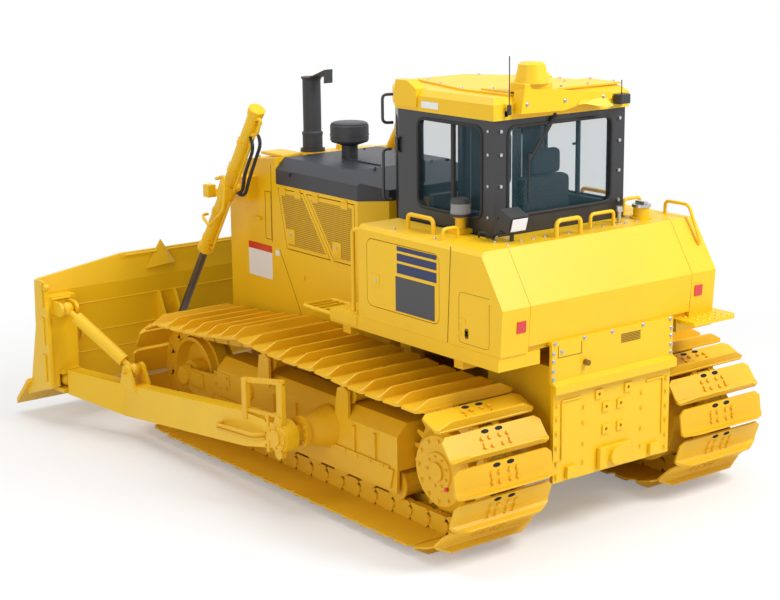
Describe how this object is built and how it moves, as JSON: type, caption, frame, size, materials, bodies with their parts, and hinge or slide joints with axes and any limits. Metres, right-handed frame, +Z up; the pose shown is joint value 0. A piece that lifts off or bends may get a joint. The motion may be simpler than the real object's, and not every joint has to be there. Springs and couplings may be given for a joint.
{
  "type": "crawler bulldozer",
  "caption": "Yellow crawler bulldozer with wide single-grouser tracks, a straight tilting blade on push arms, twin lift cylinders and a closed black cab.",
  "frame": {"origin": "on the ground, midway between the rearmost and the foremost point, on the centre plane", "axes": "+X forward, towards the blade; +Y to the machine's left; +Z up"},
  "size_m": [5.6862, 4.365, 3.44],
  "materials": {
    "yellow": "gloss paint",
    "black_paint": "satin paint",
    "rod_chrome": "polished",
    "dark_steel": "rough",
    "glass": "clear",
    "seat_cloth": "woven",
    "plastic": "matt",
    "lamp_body": "gloss"
  },
  "bodies": {
    "root": {"air_precleaner": "plastic", "belly_guard": "yellow", "cab_floor": "black_paint", "cab_front": "black_paint", "cab_glass": "glass", "cab_rear": "black_paint", "cab_roof": "yellow", "cab_side_left": "black_paint", "cab_side_right": "black_paint", "carrier_rollers": "yellow", "console": "plastic", "engine_bay": "yellow", "engine_block": "dark_steel", "exhaust_stack": "black_paint", "fenders": "yellow", "handrails": "yellow", "hood_top": "black_paint", "idlers": "yellow", "lamps": "lamp_body", "main_frame": "yellow", "operator_seat": "seat_cloth", "pivot_shafts": "yellow", "radiator_core": "dark_steel", "radiator_grille": "black_paint", "radiator_mask": "yellow", "rear_apron": "yellow", "rear_tank": "yellow", "roof_dome": "yellow", "side_box_left": "yellow", "side_box_right": "yellow", "sprockets": "yellow", "track_frame_left": "yellow", "track_frame_right": "yellow", "track_left": "yellow", "track_right": "yellow", "track_rollers": "yellow"},
    "push_arm_left": {"push_arm_left": "yellow"},
    "push_arm_right": {"push_arm_right": "yellow"},
    "blade": {"blade": "yellow", "cutting_edges": "yellow"},
    "brace_strut": {"brace_strut": "yellow"},
    "tilt_cylinder_barrel": {"tilt_cylinder_barrel": "yellow"},
    "tilt_cylinder_rod": {"tilt_cylinder_rod": "rod_chrome"},
    "lift_cylinder_barrel_left": {"lift_cylinder_barrel_left": "yellow"},
    "lift_cylinder_barrel_right": {"lift_cylinder_barrel_right": "yellow"},
    "lift_cylinder_rod_left": {"lift_cylinder_rod_left": "rod_chrome"},
    "lift_cylinder_rod_right": {"lift_cylinder_rod_right": "rod_chrome"},
    "cab_door_left": {"cab_door_left": "black_paint", "door_glass_left": "glass"},
    "cab_door_right": {"cab_door_right": "black_paint", "door_glass_right": "glass"},
    "engine_door_front_left": {"engine_door_front_left": "yellow"},
    "engine_door_front_right": {"engine_door_front_right": "yellow"},
    "engine_door_rear_left": {"engine_door_rear_left": "yellow"},
    "engine_door_rear_right": {"engine_door_rear_right": "yellow"},
    "side_flap_left": {"side_flap_left": "yellow"},
    "side_flap_right": {"side_flap_right": "yellow"}
  },
  "joints": [
    {"name": "blade_lift", "type": "hinge", "parent": "root", "child": "push_arm_left", "pos_m": [-0.9004, 1.708, 0.605], "axis": [0, -1, 0], "range_deg": [-9.9, 17]},
    {"name": "blade_tilt", "type": "hinge", "parent": "push_arm_left", "child": "blade", "pos_m": [2.2396, 1.95, 0.42], "axis": [0.9466, 0.3174, -0.0558], "range_deg": [-3, 3]},
    {"name": "right_arm_swing", "type": "hinge", "parent": "push_arm_left", "child": "push_arm_right", "pos_m": [-0.9004, -1.708, 0.605], "axis": [0, -1, 0], "range_deg": [-3.7, 3.7]},
    {"name": "brace_swing", "type": "hinge", "parent": "push_arm_left", "child": "brace_strut", "pos_m": [1.4506, 1.708, 0.622], "axis": [0.5732, 0.0787, -0.8156], "range_deg": [-2.6, 2.6]},
    {"name": "tilt_cylinder_swing", "type": "hinge", "parent": "push_arm_right", "child": "tilt_cylinder_barrel", "pos_m": [1.4506, -1.708, 0.622], "axis": [0.5075, -0.2425, -0.8268], "range_deg": [-3.1, 3.1]},
    {"name": "tilt_cylinder_stroke", "type": "slide", "parent": "tilt_cylinder_barrel", "child": "tilt_cylinder_rod", "axis": [0.7534, -0.3407, 0.5624], "range_m": [-0.018, 0.018]},
    {"name": "lift_cylinder_swing_left", "type": "hinge", "parent": "root", "child": "lift_cylinder_barrel_left", "pos_m": [1.2026, 0.85, 2.151], "axis": [0, -1, 0], "range_deg": [-10.6, 18]},
    {"name": "lift_cylinder_stroke_left", "type": "slide", "parent": "lift_cylinder_barrel_left", "child": "lift_cylinder_rod_left", "axis": [0.563, 0, -0.8265], "range_m": [-0.78, 0.46]},
    {"name": "lift_cylinder_swing_right", "type": "hinge", "parent": "root", "child": "lift_cylinder_barrel_right", "pos_m": [1.2026, -0.85, 2.151], "axis": [0, -1, 0], "range_deg": [-10.6, 18]},
    {"name": "lift_cylinder_stroke_right", "type": "slide", "parent": "lift_cylinder_barrel_right", "child": "lift_cylinder_rod_right", "axis": [0.563, 0, -0.8265], "range_m": [-0.78, 0.46]},
    {"name": "cab_door_left_hinge", "type": "hinge", "parent": "root", "child": "cab_door_left", "pos_m": [-0.9884, 0.678, 2.27], "axis": [0, 0, 1], "range_deg": [0, 90]},
    {"name": "cab_door_right_hinge", "type": "hinge", "parent": "root", "child": "cab_door_right", "pos_m": [-0.9884, -0.678, 2.27], "axis": [0, 0, -1], "range_deg": [0, 90]},
    {"name": "engine_door_front_left_hinge", "type": "hinge", "parent": "root", "child": "engine_door_front_left", "pos_m": [0.6896, 0.6085, 2.202], "axis": [1, 0, 0], "range_deg": [0, 95]},
    {"name": "engine_door_rear_left_hinge", "type": "hinge", "parent": "root", "child": "engine_door_rear_left", "pos_m": [-0.1104, 0.6085, 2.202], "axis": [1, 0, 0], "range_deg": [0, 95]},
    {"name": "engine_door_front_right_hinge", "type": "hinge", "parent": "root", "child": "engine_door_front_right", "pos_m": [0.6896, -0.6085, 2.202], "axis": [-1, 0, 0], "range_deg": [0, 95]},
    {"name": "engine_door_rear_right_hinge", "type": "hinge", "parent": "root", "child": "engine_door_rear_right", "pos_m": [-0.1104, -0.6085, 2.202], "axis": [-1, 0, 0], "range_deg": [0, 95]},
    {"name": "side_flap_left_hinge", "type": "hinge", "parent": "root", "child": "side_flap_left", "pos_m": [-1.9904, 1.086, 1.842], "axis": [0, 0, 1], "range_deg": [0, 110]},
    {"name": "side_flap_right_hinge", "type": "hinge", "parent": "root", "child": "side_flap_right", "pos_m": [-1.9904, -1.086, 1.842], "axis": [0, 0, -1], "range_deg": [0, 110]}
  ],
  "couplings": [
    {"joint": "right_arm_swing", "follows": "blade_tilt", "ratio": -1.1758},
    {"joint": "brace_swing", "follows": "blade_tilt", "ratio": 0.79839},
    {"joint": "tilt_cylinder_swing", "follows": "blade_tilt", "ratio": 0.96601},
    {"joint": "tilt_cylinder_stroke", "follows": "blade_tilt", "m_per_rad": -0.32232},
    {"joint": "lift_cylinder_swing_left", "follows": "blade_lift", "ratio": 1.05},
    {"joint": "lift_cylinder_stroke_left", "follows": "blade_lift", "m_per_rad": -2.579},
    {"joint": "lift_cylinder_swing_right", "follows": "blade_lift", "ratio": 1.05},
    {"joint": "lift_cylinder_stroke_right", "follows": "blade_lift", "m_per_rad": -2.579}
  ]
}
